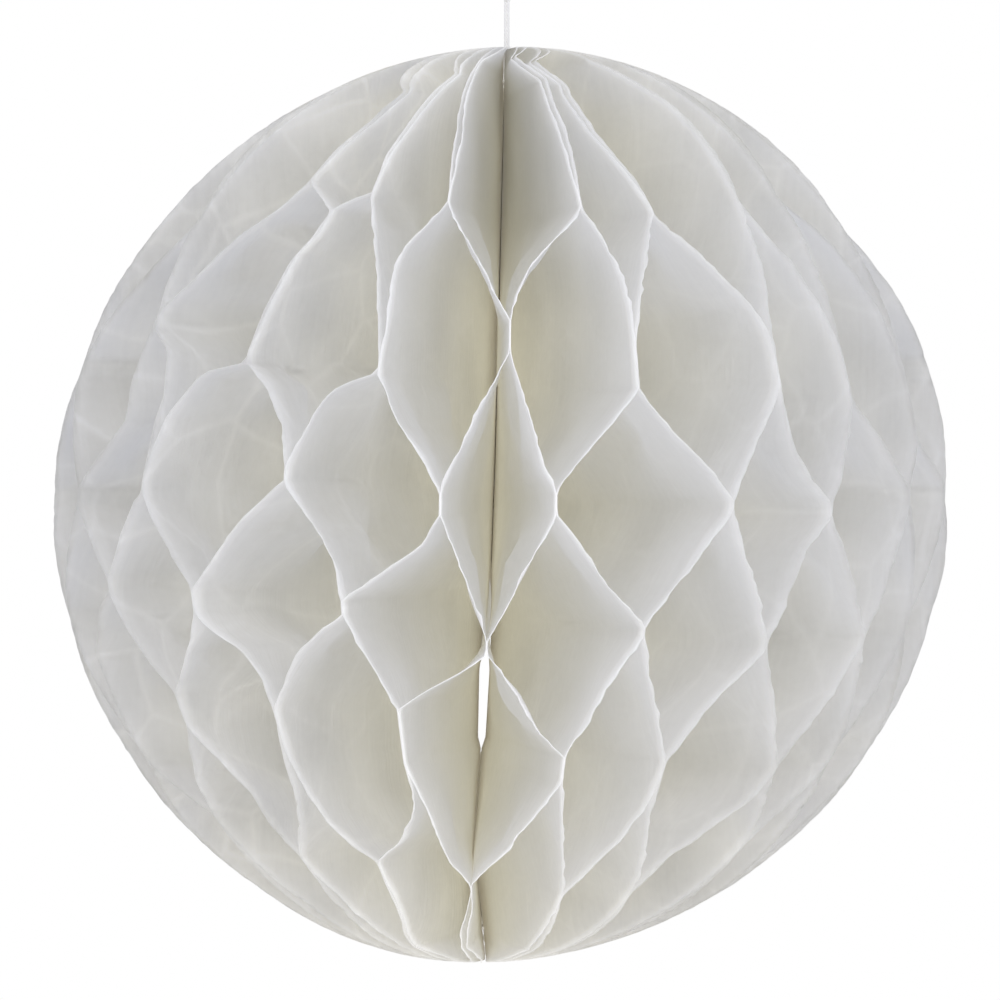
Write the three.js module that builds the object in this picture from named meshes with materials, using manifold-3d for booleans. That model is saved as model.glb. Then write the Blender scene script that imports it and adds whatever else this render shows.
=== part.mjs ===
// Honeycomb ball of white tissue paper that hangs on a thin cord.
//
// A pad of half-round tissue leaves is bound at its straight edges and glued leaf to leaf along
// horizontal lines, on even lines with one neighbour and on odd lines with the other. Opened
// right round its spine until the two end cards meet, the pad becomes a ball of diamond cells.
//
// Units are millimetres. Z is up, the spine is the Z axis, the cards meet at the back (+Y).

import * as THREE from "three";
import { mergeVertices } from "three/addons/utils/BufferGeometryUtils.js";
import Module from "manifold-3d";

// The outline that every leaf is cut to.
const BALL_WIDTH = 200;
const BALL_HEIGHT = 204.5;
// 2 is a true ellipse, and less flattens the shoulders.
const OUTLINE_ROUNDNESS = 1.92;
// The outline is cut off flat where it comes this near the spine side of the end leaves.
const POLE_LAND = 1;

// The tissue and its glue lines.
const LEAF_COUNT = 36;
const PAPER_THICKNESS = 0.2;
const GLUE_THICKNESS = 0.16;
const GLUE_LINE_COUNT = 6;
const GLUE_LINE_PITCH = 28;
const GLUE_LINE_WIDTH = 3;
const TOP_GLUE_HEIGHT = 58.6;
// Handling has pulled the glued places at the front about. One row for each: its line from the
// top, the leaf on its left, the way it faces in degrees to the right of straight ahead, how far
// it has moved up, and how high it is.
const MOVED_PLACES = [
  [1, 11, -56, 1.9, 3.0],
  [1, 13, -33.8, 8.9, 2.0],
  [1, 15, -21.2, 5.7, 2.0],
  [1, 17, -8.8, 4.1, 2.0],
  [1, 19, 11.1, 2.4, 2.0],
  [1, 21, 22.1, 1.4, 2.0],
  [1, 23, 39.0, 5.0, 2.0],
  [1, 25, 49.3, 6.0, 2.0],
  [1, 27, 66.0, 0.9, 3.0],
  [2, 12, -52.7, 7.4, 2.0],
  [2, 14, -33.2, -0.7, 2.1],
  [2, 16, -15.1, -3.2, 2.1],
  [2, 18, 0.7, 3.1, 6.1],
  [2, 20, 16.1, -2.9, 8.7],
  [2, 22, 35.5, -4.6, 3.7],
  [2, 24, 47.7, -5.6, 6.7],
  [2, 26, 62.9, -11.0, 11.8],
  [3, 13, -47.9, 1.3, 2.4],
  [3, 15, -25.8, 3.6, 2.4],
  [3, 17, -7.0, -2.3, 4.5],
  [3, 19, 6.2, -2.2, 4.3],
  [3, 21, 27.6, -2.8, 2.4],
  [3, 23, 42.4, -4.0, 2.7],
  [3, 25, 59.2, -0.6, 2.1],
  [4, 12, -56.7, 8.6, 3.0],
  [4, 14, -39.8, 6.1, 4.3],
  [4, 16, -18.8, 5.1, 3.6],
  [4, 18, -1.5, -3.0, 2.6],
  [4, 20, 17.4, 0.3, 2.0],
  [4, 22, 34.6, -3.0, 2.1],
  [4, 24, 52.8, -2.8, 2.0],
  [5, 13, -47.2, 10.8, 7.0],
  [5, 15, -30.3, 10.6, 2.7],
  [5, 17, -12.8, 6.7, 11.4],
  [5, 19, 9.2, -0.1, 5.3],
  [5, 21, 23.9, -0.1, 2.1],
  [5, 23, 44.5, -2.0, 2.0],
  [6, 12, -53.7, 14.8, 2.0],
  [6, 14, -37.7, 7.1, 2.0],
  [6, 16, -21.6, 6.8, 2.0],
  [6, 18, -4.8, 1.5, 2.0],
  [6, 20, 14.1, -1.0, 2.0],
  [6, 22, 29.8, -0.8, 2.0],
  [6, 24, 50.1, 8.6, 2.0],
];
// The way that the glue on a leaf's right faces where nothing has moved it: a leaf and degrees.
const USUAL_DIRECTIONS = [
  [0, -180],
  [12, -55],
  [14, -37],
  [16, -18.5],
  [18, 0],
  [20, 17],
  [22, 35],
  [24, 50.5],
  [26, 64],
  [36, 180],
];
// How much of its sideways swing a leaf still has at the poles, beyond the last glue line.
const POLE_SWING = 0.7;
// Share of a plain S-curve, against a straight slope, in the way a leaf crosses its cell.
const WAVE_SOFTNESS = 0.45;

// The two end cards and the double-sided strips that hold them together.
const CARD_THICKNESS = 0.5;
const CARD_INSET = 1.5;
const STRIP_THICKNESS = 0.3;
const STRIP_WIDTH = 9;
const STRIP_LENGTH = 34;
const STRIP_SPINE_DISTANCE = 62;
const STRIP_HEIGHT = 33;
const CONTACT_GAP = 0.1;

// The cord through the leaves, the doubled cord that the ball hangs on, and the lower tie.
const RING_CORD_DIAMETER = 0.6;
const HANGING_CORD_DIAMETER = 1.25;
const PUNCHED_HOLE_CLEARANCE = 0.25;
const PUNCHED_HOLE_DEPTH = 7;
const CORD_CLEARANCE = 0.3;
const TOP_KNOT_RADIUS = 0.85;
const LOWER_KNOT_RADIUS = 0.6;
const LOOP_KNOT_RADIUS = 1.5;
const LOOP_KNOT_HEIGHT = 116;
const LOOP_LENGTH = 24;
const LOOP_WIDTH = 11;
// The loop's two lower bends: how far up it they are, and how much of its width they have.
const LOOP_BEND_HEIGHTS = [0.35, 0.68];
const LOOP_BEND_WIDTHS = [0.75, 1];

// How finely the curves are divided.
const ROWS_BETWEEN_LINES = 3;
const ROWS_TO_TOP = 5;
const ROWS_TO_BOTTOM = 3;
const CARD_RIM_STEPS = 32;
const CORD_SIDES = 8;
const HOLE_SIDES = 6;
const RING_STEPS = 24;
const LOOP_STEPS = 24;
const TUNNEL_STEPS = LEAF_COUNT;

const TISSUE = new THREE.MeshStandardMaterial({ color: 0xe9e7e2, roughness: 0.9, metalness: 0 });
const CARD = new THREE.MeshStandardMaterial({ color: 0xe4e1da, roughness: 0.85, metalness: 0 });
const STRIP = new THREE.MeshStandardMaterial({ color: 0xefeeea, roughness: 0.6, metalness: 0 });
const CORD = new THREE.MeshStandardMaterial({ color: 0xe2e1db, roughness: 0.8, metalness: 0 });

// Sizes that follow from the ones above.
const halfWidth = BALL_WIDTH / 2;
const halfHeight = BALL_HEIGHT / 2;
// Each leaf has a wedge of the circle to itself, and swings between its two sides.
const halfWedge = Math.PI / LEAF_COUNT;
const leafSideDistance = (PAPER_THICKNESS + GLUE_THICKNESS) / 2;
const cardInnerFace = STRIP_THICKNESS / 2 + CONTACT_GAP;
const cardOuterFace = cardInnerFace + CARD_THICKNESS;
const cardSideDistance = cardOuterFace + GLUE_THICKNESS + PAPER_THICKNESS / 2;
// The straight edge of a leaf lies where its wedge is just wide enough for it.
const endLeafSpine = (leafSideDistance + cardSideDistance) / (2 * Math.sin(halfWedge));
const poleHeight = heightAtRadius(endLeafSpine + POLE_LAND);
const ringHeight = poleHeight - PUNCHED_HOLE_DEPTH;
// The ring lies just so far out that its knot clears the leaves on both sides of the seam.
const knotRoom = 2 * (TOP_KNOT_RADIUS + CORD_CLEARANCE + PAPER_THICKNESS / 2);
const ringRadius = (knotRoom - cardSideDistance + leafSideDistance) / Math.sin(2 * halfWedge);
const tunnelRadius = RING_CORD_DIAMETER / 2 + PUNCHED_HOLE_CLEARANCE;

// Radius of the outline at a height, and its height at a radius.
function radiusAtHeight(z) {
  const share = Math.min(1, Math.abs(z) / halfHeight);
  return halfWidth * (1 - share ** OUTLINE_ROUNDNESS) ** (1 / OUTLINE_ROUNDNESS);
}

function heightAtRadius(r) {
  return halfHeight * (1 - (r / halfWidth) ** OUTLINE_ROUNDNESS) ** (1 / OUTLINE_ROUNDNESS);
}

function glueHeight(line) {
  return TOP_GLUE_HEIGHT - (line - 1) * GLUE_LINE_PITCH;
}

// A value from a table of places and values, in straight steps between its rows.
function fromTable(table, place) {
  const next = Math.max(1, table.findIndex((row) => row[0] >= place));
  const [low, lowValue] = table[next - 1];
  const [high, highValue] = table[next];
  return THREE.MathUtils.mapLinear(place, low, high, lowValue, highValue);
}

// A glued place on a line, on the right of a leaf: the way it faces, its top and its bottom.
function gluedPlace(line, leaf) {
  const moved = MOVED_PLACES.find((row) => row[0] === line && row[1] === leaf);
  const direction = moved ? moved[2] : fromTable(USUAL_DIRECTIONS, leaf);
  const middle = glueHeight(line) + (moved ? moved[3] : 0);
  const half = (moved ? moved[4] : GLUE_LINE_WIDTH) / 2;
  return { direction, top: middle + half, bottom: middle - half };
}

// The places where a leaf is glued, from the top down: on its right on lines of its own parity.
function placesOfLeaf(number) {
  return Array.from({ length: GLUE_LINE_COUNT }, (_, i) => {
    const onRight = (number + i + 1) % 2 === 0;
    return { ...gluedPlace(i + 1, onRight ? number : number - 1), swing: onRight ? 1 : -1 };
  });
}

// The side of a leaf's wedge, as the way that it faces at a height. It passes through the
// places where the leaf is glued on that side, midway between the places beside it on the other
// lines, and out to its usual direction at the poles.
function wedgeSide(leaf, z) {
  const usual = fromTable(USUAL_DIRECTIONS, leaf);
  const corners = [[poleHeight, usual]];
  for (let line = 1; line <= GLUE_LINE_COUNT; line++) {
    const place = gluedPlace(line, leaf);
    const seam = leaf === 0 || leaf === LEAF_COUNT;
    if ((leaf + line) % 2 === 0 || seam) {
      corners.push([place.top, place.direction], [place.bottom, place.direction]);
    } else {
      const left = gluedPlace(line, leaf - 1);
      const right = gluedPlace(line, leaf + 1);
      const height = (left.top + left.bottom + right.top + right.bottom) / 4;
      corners.push([height, (left.direction + right.direction) / 2]);
    }
  }
  corners.push([-poleHeight, usual]);
  return THREE.MathUtils.degToRad(fromTable(corners.reverse(), z));
}

// Heights from one glue line's edge out to a pole, closer together where the outline turns.
function heightsToPole(from, to, rows) {
  const start = Math.asin(from / halfHeight);
  const end = Math.asin(to / halfHeight);
  return Array.from({ length: rows }, (_, i) => {
    return halfHeight * Math.sin(THREE.MathUtils.lerp(start, end, (i + 1) / rows));
  });
}

// The heights of a leaf's rows, from the top down.
function leafHeights(places) {
  const heights = heightsToPole(places[0].top, poleHeight, ROWS_TO_TOP).reverse();
  places.forEach((place, i) => {
    heights.push(place.top, place.bottom);
    for (let row = 1; i < places.length - 1 && row < ROWS_BETWEEN_LINES; row++) {
      heights.push(THREE.MathUtils.lerp(place.bottom, places[i + 1].top, row / ROWS_BETWEEN_LINES));
    }
  });
  return heights.concat(heightsToPole(places.at(-1).bottom, -poleHeight, ROWS_TO_BOTTOM));
}

// Where a leaf is in its wedge at a height: 1 against its right neighbour, -1 against its left.
function swingAtHeight(z, places) {
  const first = places[0];
  const last = places.at(-1);
  if (z >= first.top) {
    const beyond = (z - first.top) / (poleHeight - first.top);
    return first.swing * THREE.MathUtils.lerp(1, POLE_SWING, beyond);
  }
  if (z <= last.bottom) {
    const beyond = (last.bottom - z) / (last.bottom + poleHeight);
    return last.swing * THREE.MathUtils.lerp(1, POLE_SWING, beyond);
  }
  const above = places.findLast((place) => z <= place.top);
  if (z >= above.bottom) {
    return above.swing;
  }
  const below = places[places.indexOf(above) + 1];
  const crossed = (above.bottom - z) / (above.bottom - below.top);
  const slope = 1 - 2 * crossed;
  const curve = Math.cos(Math.PI * crossed);
  return above.swing * THREE.MathUtils.lerp(slope, curve, WAVE_SOFTNESS);
}

// A thin closed sheet over a grid: place(u, row, side) gives a point of one of its two faces.
// Both faces share the plane's triangles, so that the paper keeps its thickness where it twists.
function sheetGeometry(place, rows) {
  const plane = new THREE.PlaneGeometry(1, 1, 1, rows - 1);
  const uv = plane.getAttribute("uv");
  const count = uv.count;
  const positions = [];
  for (const side of [-1, 1]) {
    for (let i = 0; i < count; i++) {
      positions.push(...place(uv.getX(i), Math.round((1 - uv.getY(i)) * (rows - 1)), side));
    }
  }
  const index = [];
  const faces = plane.getIndex().array;
  for (let i = 0; i < faces.length; i += 3) {
    const [a, b, c] = faces.slice(i, i + 3);
    index.push(a, b, c);
    index.push(a + count, c + count, b + count);
  }
  const down = Array.from({ length: rows }, (_, row) => 2 * row);
  const up = down.map((i) => i + 1).reverse();
  const rim = [...down, ...up];
  rim.forEach((a, i) => {
    const b = rim[(i + 1) % rim.length];
    index.push(b, a, a + count);
    index.push(b, a + count, b + count);
  });
  const geometry = new THREE.BufferGeometry();
  geometry.setAttribute("position", new THREE.Float32BufferAttribute(positions, 3));
  geometry.setIndex(index);
  return geometry;
}

// How far a leaf stands to the right of the middle of its wedge, at a distance out.
function acrossWedge(out, swing, half, left, right) {
  const room = 2 * out * Math.sin(half) - left - right;
  return (left - right + swing * room) / (2 * Math.cos(half));
}

// One tissue leaf. Its straight edge stands at the spine, each level line runs straight out
// from there to the outline, and the lines swing from side to side between the glued places.
function leafGeometry(number) {
  const angle = (number - 0.5 - LEAF_COUNT / 2) * 2 * halfWedge;
  const left = number === 1 ? cardSideDistance : leafSideDistance;
  const right = number === LEAF_COUNT ? cardSideDistance : leafSideDistance;
  const spine = (left + right) / (2 * Math.sin(halfWedge));
  const places = placesOfLeaf(number);
  const heights = leafHeights(places);
  const pointAt = (facing, out, across) => new THREE.Vector2(
    out * Math.sin(facing) + across * Math.cos(facing),
    across * Math.sin(facing) - out * Math.cos(facing),
  );
  const inner = pointAt(angle, spine, acrossWedge(spine, 0, halfWedge, left, right));
  const place = (u, row, side) => {
    const z = heights[row];
    const leftSide = wedgeSide(number - 1, z);
    const rightSide = wedgeSide(number, z);
    const half = (rightSide - leftSide) / 2;
    const rim = radiusAtHeight(z);
    const across = acrossWedge(rim, swingAtHeight(z, places), half, left, right);
    const outer = pointAt((leftSide + rightSide) / 2, Math.sqrt(rim ** 2 - across ** 2), across);
    const way = outer.clone().sub(inner).normalize();
    const point = inner.clone().lerp(outer, u);
    const offset = side * PAPER_THICKNESS / 2;
    return [point.x - way.y * offset, point.y + way.x * offset, z];
  };
  return sheetGeometry(place, heights.length);
}

// Solids for cutting: a closed mesh goes in and comes back as plain triangles.
const wasm = await Module();
wasm.setup();

function toSolid(geometry) {
  const bare = geometry.clone();
  bare.deleteAttribute("normal");
  bare.deleteAttribute("uv");
  const welded = mergeVertices(bare, 1e-5);
  return new wasm.Manifold(new wasm.Mesh({
    numProp: 3,
    vertProperties: new Float32Array(welded.getAttribute("position").array),
    triVerts: new Uint32Array(welded.getIndex().array),
  }));
}

function toGeometry(solid) {
  const mesh = solid.getMesh();
  const geometry = new THREE.BufferGeometry();
  geometry.setAttribute("position", new THREE.BufferAttribute(mesh.vertProperties, 3));
  geometry.setIndex(new THREE.BufferAttribute(mesh.triVerts, 1));
  return geometry;
}

// The round way that the punched holes leave for a cord ring, at a height.
function ringTunnel(height) {
  const profile = Array.from({ length: HOLE_SIDES + 1 }, (_, i) => {
    const turn = 2 * Math.PI * i / HOLE_SIDES;
    const out = ringRadius + tunnelRadius * Math.cos(turn);
    return new THREE.Vector2(out, tunnelRadius * Math.sin(turn));
  });
  const tunnel = new THREE.LatheGeometry(profile, TUNNEL_STEPS);
  tunnel.rotateX(Math.PI / 2);
  tunnel.translate(0, 0, height);
  return toSolid(tunnel);
}

// An end card: the leaf's outline drawn in by the inset, with the corners beside the spine
// cut away so that the cord and the tie can pass. side is 1 on the right and -1 on the left.
function cardGeometry(side) {
  const cornerWidth = ringRadius + TOP_KNOT_RADIUS + CORD_CLEARANCE;
  const cornerHeight = ringHeight - TOP_KNOT_RADIUS - CORD_CLEARANCE;
  const rimShare = 1 - CARD_INSET / halfWidth;
  const rimTop = rimShare * heightAtRadius(cornerWidth / rimShare);
  const start = Math.asin(rimTop / (rimShare * halfHeight));
  const outline = new THREE.Shape();
  outline.moveTo(endLeafSpine, -cornerHeight);
  outline.lineTo(cornerWidth, -cornerHeight);
  for (let i = 0; i <= CARD_RIM_STEPS; i++) {
    const turn = THREE.MathUtils.lerp(-start, start, i / CARD_RIM_STEPS);
    const height = halfHeight * Math.sin(turn);
    outline.lineTo(rimShare * radiusAtHeight(height), rimShare * height);
  }
  outline.lineTo(cornerWidth, cornerHeight);
  outline.lineTo(endLeafSpine, cornerHeight);
  outline.closePath();
  const card = new THREE.ExtrudeGeometry(outline, { depth: CARD_THICKNESS, bevelEnabled: false });
  // The shape's X is the way back from the spine and its Y is up.
  card.applyMatrix4(new THREE.Matrix4().makeBasis(
    new THREE.Vector3(0, 1, 0),
    new THREE.Vector3(0, 0, 1),
    new THREE.Vector3(1, 0, 0),
  ));
  card.translate(side > 0 ? cardInnerFace : -cardOuterFace, 0, 0);
  return card;
}

function stripGeometry() {
  return new THREE.BoxGeometry(STRIP_THICKNESS, STRIP_WIDTH, STRIP_LENGTH);
}

// A round cord of a diameter along a curve.
function cordGeometry(curve, diameter, steps) {
  const section = new THREE.Shape();
  for (let i = 0; i < CORD_SIDES; i++) {
    const turn = 2 * Math.PI * i / CORD_SIDES;
    const x = diameter / 2 * Math.cos(turn);
    const y = diameter / 2 * Math.sin(turn);
    if (i === 0) {
      section.moveTo(x, y);
    } else {
      section.lineTo(x, y);
    }
  }
  section.closePath();
  return new THREE.ExtrudeGeometry(section, { steps, extrudePath: curve, bevelEnabled: false });
}

// The cord or thread that runs round through the punched holes, from one side of its knot
// to the other.
class RingCurve extends THREE.Curve {
  constructor(height, knotRadius) {
    super();
    this.height = height;
    this.gap = Math.asin((knotRadius + CORD_CLEARANCE) / ringRadius);
  }

  getPoint(t, target = new THREE.Vector3()) {
    const turn = THREE.MathUtils.lerp(this.gap, 2 * Math.PI - this.gap, t);
    return target.set(ringRadius * Math.sin(turn), ringRadius * Math.cos(turn), this.height);
  }
}

// The loop that the ball is hung up by, from one shoulder of its knot round to the other.
function loopCurve() {
  const shoulder = LOOP_KNOT_RADIUS + CORD_CLEARANCE + HANGING_CORD_DIAMETER / 2;
  const foot = shoulder * Math.SQRT1_2;
  const bend = (i, side) => new THREE.Vector3(
    side * LOOP_WIDTH / 2 * LOOP_BEND_WIDTHS[i],
    ringRadius,
    LOOP_KNOT_HEIGHT + LOOP_LENGTH * LOOP_BEND_HEIGHTS[i],
  );
  return new THREE.CatmullRomCurve3([
    new THREE.Vector3(foot, ringRadius, LOOP_KNOT_HEIGHT + foot),
    bend(0, 1),
    bend(1, 1),
    new THREE.Vector3(0, ringRadius, LOOP_KNOT_HEIGHT + LOOP_LENGTH),
    bend(1, -1),
    bend(0, -1),
    new THREE.Vector3(-foot, ringRadius, LOOP_KNOT_HEIGHT + foot),
  ]);
}

function knotGeometry(radius) {
  return new THREE.SphereGeometry(radius, CORD_SIDES, CORD_SIDES / 2);
}

const ball = new THREE.Group();

function addPiece(name, geometry, material, position = [0, 0, 0]) {
  const piece = new THREE.Mesh(geometry, material);
  piece.name = name;
  piece.position.set(...position);
  ball.add(piece);
}

// The leaves, counted from the seam round the left side, with the cord holes punched.
const holes = ringTunnel(ringHeight).add(ringTunnel(-ringHeight));
for (let number = 1; number <= LEAF_COUNT; number++) {
  const leaf = toSolid(leafGeometry(number)).subtract(holes);
  addPiece(`tissue_leaf_${String(number).padStart(2, "0")}`, toGeometry(leaf), TISSUE);
}

addPiece("end_card_right", cardGeometry(1), CARD);
addPiece("end_card_left", cardGeometry(-1), CARD);
addPiece("adhesive_strip_upper", stripGeometry(), STRIP, [0, STRIP_SPINE_DISTANCE, STRIP_HEIGHT]);
addPiece("adhesive_strip_lower", stripGeometry(), STRIP, [0, STRIP_SPINE_DISTANCE, -STRIP_HEIGHT]);

const ringCurve = new RingCurve(ringHeight, TOP_KNOT_RADIUS);
const tieCurve = new RingCurve(-ringHeight, LOWER_KNOT_RADIUS);
addPiece("cord_ring", cordGeometry(ringCurve, RING_CORD_DIAMETER, RING_STEPS), CORD);
addPiece("lower_tie", cordGeometry(tieCurve, RING_CORD_DIAMETER, RING_STEPS), CORD);
addPiece("cord_knot", knotGeometry(TOP_KNOT_RADIUS), CORD, [0, ringRadius, ringHeight]);
addPiece("lower_tie_knot", knotGeometry(LOWER_KNOT_RADIUS), CORD, [0, ringRadius, -ringHeight]);

const cordFoot = ringHeight + TOP_KNOT_RADIUS + CORD_CLEARANCE;
const cordHead = LOOP_KNOT_HEIGHT - LOOP_KNOT_RADIUS - CORD_CLEARANCE;
const cordLine = new THREE.LineCurve3(
  new THREE.Vector3(0, ringRadius, cordFoot),
  new THREE.Vector3(0, ringRadius, cordHead),
);
const cordSteps = Math.ceil((cordHead - cordFoot) / (3 * HANGING_CORD_DIAMETER));
addPiece("hanging_cord", cordGeometry(cordLine, HANGING_CORD_DIAMETER, cordSteps), CORD);
addPiece("loop_knot", knotGeometry(LOOP_KNOT_RADIUS), CORD, [0, ringRadius, LOOP_KNOT_HEIGHT]);
addPiece("cord_loop", cordGeometry(loopCurve(), HANGING_CORD_DIAMETER, LOOP_STEPS), CORD);

export default ball;
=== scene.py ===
import math
import random

import bpy
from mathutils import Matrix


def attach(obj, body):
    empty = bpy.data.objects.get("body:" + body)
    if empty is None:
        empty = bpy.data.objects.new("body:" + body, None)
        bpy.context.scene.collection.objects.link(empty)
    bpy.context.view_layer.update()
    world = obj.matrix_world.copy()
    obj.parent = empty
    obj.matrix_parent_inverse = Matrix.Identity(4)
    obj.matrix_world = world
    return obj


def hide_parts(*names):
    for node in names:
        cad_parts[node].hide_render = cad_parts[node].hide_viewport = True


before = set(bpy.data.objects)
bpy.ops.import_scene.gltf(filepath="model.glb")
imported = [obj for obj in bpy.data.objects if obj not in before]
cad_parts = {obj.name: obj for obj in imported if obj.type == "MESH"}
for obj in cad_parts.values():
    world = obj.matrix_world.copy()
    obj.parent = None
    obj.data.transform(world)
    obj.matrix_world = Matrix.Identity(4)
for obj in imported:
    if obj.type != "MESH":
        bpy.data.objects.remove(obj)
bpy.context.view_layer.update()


# Camera. Level with the middle of the ball, 0.8 m in front of it, with a long lens, so that the
# ball nearly fills the picture and the cord runs out at the top.
lens = bpy.data.cameras.new("camera")
lens.sensor_width = 36.0
lens.lens = 128.15
lens.clip_start = 0.05
camera = bpy.data.objects.new("camera", lens)
camera.location = (-0.001537, -0.8, 0.001011)
camera.rotation_euler = (math.radians(90), 0, 0)
bpy.context.scene.collection.objects.link(camera)
bpy.context.scene.camera = camera


# Hanging cord. Two strands of fine white cotton, spun from three yarns each, run side by side up
# from the knot behind the top of the spine and end in a knotted loop that goes over a hook.
class Socket:
    """A node's output, which can be added, multiplied and so on as a number."""

    def __init__(self, tree, socket):
        self.tree = tree
        self.socket = socket

    def sum(self, operation, *terms):
        return self.tree.node("ShaderNodeMath", {"operation": operation}, dict(enumerate(terms)))

    def __add__(self, other):
        return self.sum("ADD", self, other)

    def __radd__(self, other):
        return self.sum("ADD", other, self)

    def __sub__(self, other):
        return self.sum("SUBTRACT", self, other)

    def __rsub__(self, other):
        return self.sum("SUBTRACT", other, self)

    def __mul__(self, other):
        return self.sum("MULTIPLY", self, other)

    def __rmul__(self, other):
        return self.sum("MULTIPLY", other, self)

    def __truediv__(self, other):
        return self.sum("DIVIDE", self, other)

    def __rtruediv__(self, other):
        return self.sum("DIVIDE", other, self)

    def __pow__(self, other):
        return self.sum("POWER", self, other)


class Tree:
    """A node tree that is built one node at a time."""

    def __init__(self, tree):
        self.tree = tree

    def node(self, kind, settings=None, sockets=None, out=0):
        made = self.tree.nodes.new(kind)
        for name, value in (settings or {}).items():
            setattr(made, name, value)
        for name, value in (sockets or {}).items():
            if isinstance(value, Socket):
                self.tree.links.new(value.socket, made.inputs[name])
            else:
                made.inputs[name].default_value = value
        return Socket(self, made.outputs[out]) if len(made.outputs) else made

    def mix(self, factor, low, high):
        made = self.tree.nodes.new("ShaderNodeMix")
        made.data_type = "RGBA"
        for index, value in ((0, factor), (6, low), (7, high)):
            if isinstance(value, Socket):
                self.tree.links.new(value.socket, made.inputs[index])
            else:
                made.inputs[index].default_value = value
        return Socket(self, made.outputs[2])


def new_material(name):
    material = bpy.data.materials.new(name)
    material.use_nodes = True
    material.cycles.emission_sampling = "NONE"
    material.node_tree.nodes.clear()
    return material, Tree(material.node_tree)


def new_shape_tree(name, inputs):
    tree = bpy.data.node_groups.new(name, "GeometryNodeTree")
    tree.interface.new_socket("Geometry", in_out="INPUT", socket_type="NodeSocketGeometry")
    for label, kind in inputs:
        tree.interface.new_socket(label, in_out="INPUT", socket_type=kind)
    tree.interface.new_socket("Geometry", in_out="OUTPUT", socket_type="NodeSocketGeometry")
    group = tree.nodes.new("NodeGroupInput")
    build = Tree(tree)
    return tree, build, {s.name: Socket(build, s) for s in group.outputs if s.name}


def finish_shape_tree(build, shape, paper):
    real = build.node("GeometryNodeRealizeInstances", None, {"Geometry": shape})
    dressed = build.node("GeometryNodeSetMaterial", None, {"Geometry": real, "Material": paper})
    build.node("NodeGroupOutput", None, {"Geometry": dressed})


def made_with(name, source, tree, values, wall=0.0):
    """The plain mesh that a shape tree, and a wall of the given thickness, make from a source mesh."""
    worker = bpy.data.objects.new(name + "_source", source)
    bpy.context.scene.collection.objects.link(worker)
    modifier = worker.modifiers.new("shape", "NODES")
    modifier.node_group = tree
    for item in tree.interface.items_tree:
        if item.in_out == "INPUT" and item.name in values:
            modifier[item.identifier] = values[item.name]
    if wall:
        solid = worker.modifiers.new("wall", "SOLIDIFY")
        solid.thickness = wall
        solid.offset = 0.0
    bpy.context.view_layer.update()
    graph = bpy.context.evaluated_depsgraph_get()
    mesh = bpy.data.meshes.new_from_object(worker.evaluated_get(graph), depsgraph=graph)
    mesh.name = name
    worker.modifiers.clear()
    bpy.data.objects.remove(worker)
    piece = bpy.data.objects.new(name, mesh)
    bpy.context.scene.collection.objects.link(piece)
    return piece


cotton, nodes = new_material("white_cotton_cord")
where = nodes.node("ShaderNodeTexCoord", None, None, 2)
across_strand = nodes.node("ShaderNodeSeparateXYZ", None, {"Vector": where}, 0)
along_strand = nodes.node("ShaderNodeSeparateXYZ", None, {"Vector": where}, 1)
lay_of_yarns = nodes.node("ShaderNodeMath", {"operation": "SINE"}, {0: (across_strand * 3.0 + along_strand * 1100.0) * 6.2832})
fuzz = nodes.node("ShaderNodeTexNoise", None, {"Vector": where, "Scale": 260.0, "Detail": 5.0})
height = lay_of_yarns * 0.5 + fuzz * 0.8
# The grooves between the yarns are painted darker, in step with the bump: painted shade in the grooves.
colour = nodes.mix(lay_of_yarns * 0.35 + 0.6, (0.80, 0.79, 0.77, 1), (0.98, 0.975, 0.965, 1))
bump = nodes.node("ShaderNodeBump", None, {"Strength": 0.6, "Distance": 0.00012, "Height": height})
# The cord's emission is painted light: the cord glows faintly, though it is no lamp.
cloth = nodes.node("ShaderNodeBsdfPrincipled", None, {"Base Color": colour, "Roughness": 0.9, "Sheen Weight": 0.2, "Normal": bump,
                                                           "Emission Color": (1.0, 0.99, 0.96, 1), "Emission Strength": 0.22})
nodes.node("ShaderNodeOutputMaterial", None, {"Surface": cloth})

strand_tree, build, given = new_shape_tree("strands_along_paths", [
    ("Strand radius", "NodeSocketFloat"),
    ("Sides", "NodeSocketInt"),
    ("Yarn", "NodeSocketMaterial"),
])
path = build.node("GeometryNodeMeshToCurve", None, {"Mesh": given["Geometry"]})
run = build.node("GeometryNodeSplineParameter", None, None, 1)
path = build.node("GeometryNodeCaptureAttribute", None, {"Geometry": path})
path.socket.node.capture_items.new("FLOAT", "run")
build.tree.links.new(run.socket, path.socket.node.inputs["run"])
ring = build.node("GeometryNodeCurvePrimitiveCircle", None, {"Resolution": given["Sides"], "Radius": given["Strand radius"]})
turn = build.node("GeometryNodeSplineParameter", None, None, 0)
ring = build.node("GeometryNodeCaptureAttribute", None, {"Geometry": ring})
ring.socket.node.capture_items.new("FLOAT", "turn")
build.tree.links.new(turn.socket, ring.socket.node.inputs["turn"])
tube = build.node("GeometryNodeCurveToMesh", None, {"Curve": path, "Profile Curve": ring, "Fill Caps": True})
flat = build.node("ShaderNodeCombineXYZ", None, {"X": Socket(build, ring.socket.node.outputs["turn"]), "Y": Socket(build, path.socket.node.outputs["run"])})
tube = build.node("GeometryNodeStoreNamedAttribute", {"data_type": "FLOAT2", "domain": "CORNER"}, {"Geometry": tube, "Name": "UVMap", "Value": flat})
finish_shape_tree(build, tube, given["Yarn"])


def strands(name, lines, strand_radius, sides=10):
    """Spun strands that follow the given lines of points."""
    points = [p for line in lines for p in line]
    edges = []
    first = 0
    for line in lines:
        edges += [(first + i, first + i + 1) for i in range(len(line) - 1)]
        first += len(line)
    source = bpy.data.meshes.new(name)
    source.from_pydata(points, edges, [])
    return made_with(name, source, strand_tree, {"Strand radius": strand_radius, "Sides": sides, "Yarn": cotton})


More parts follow.
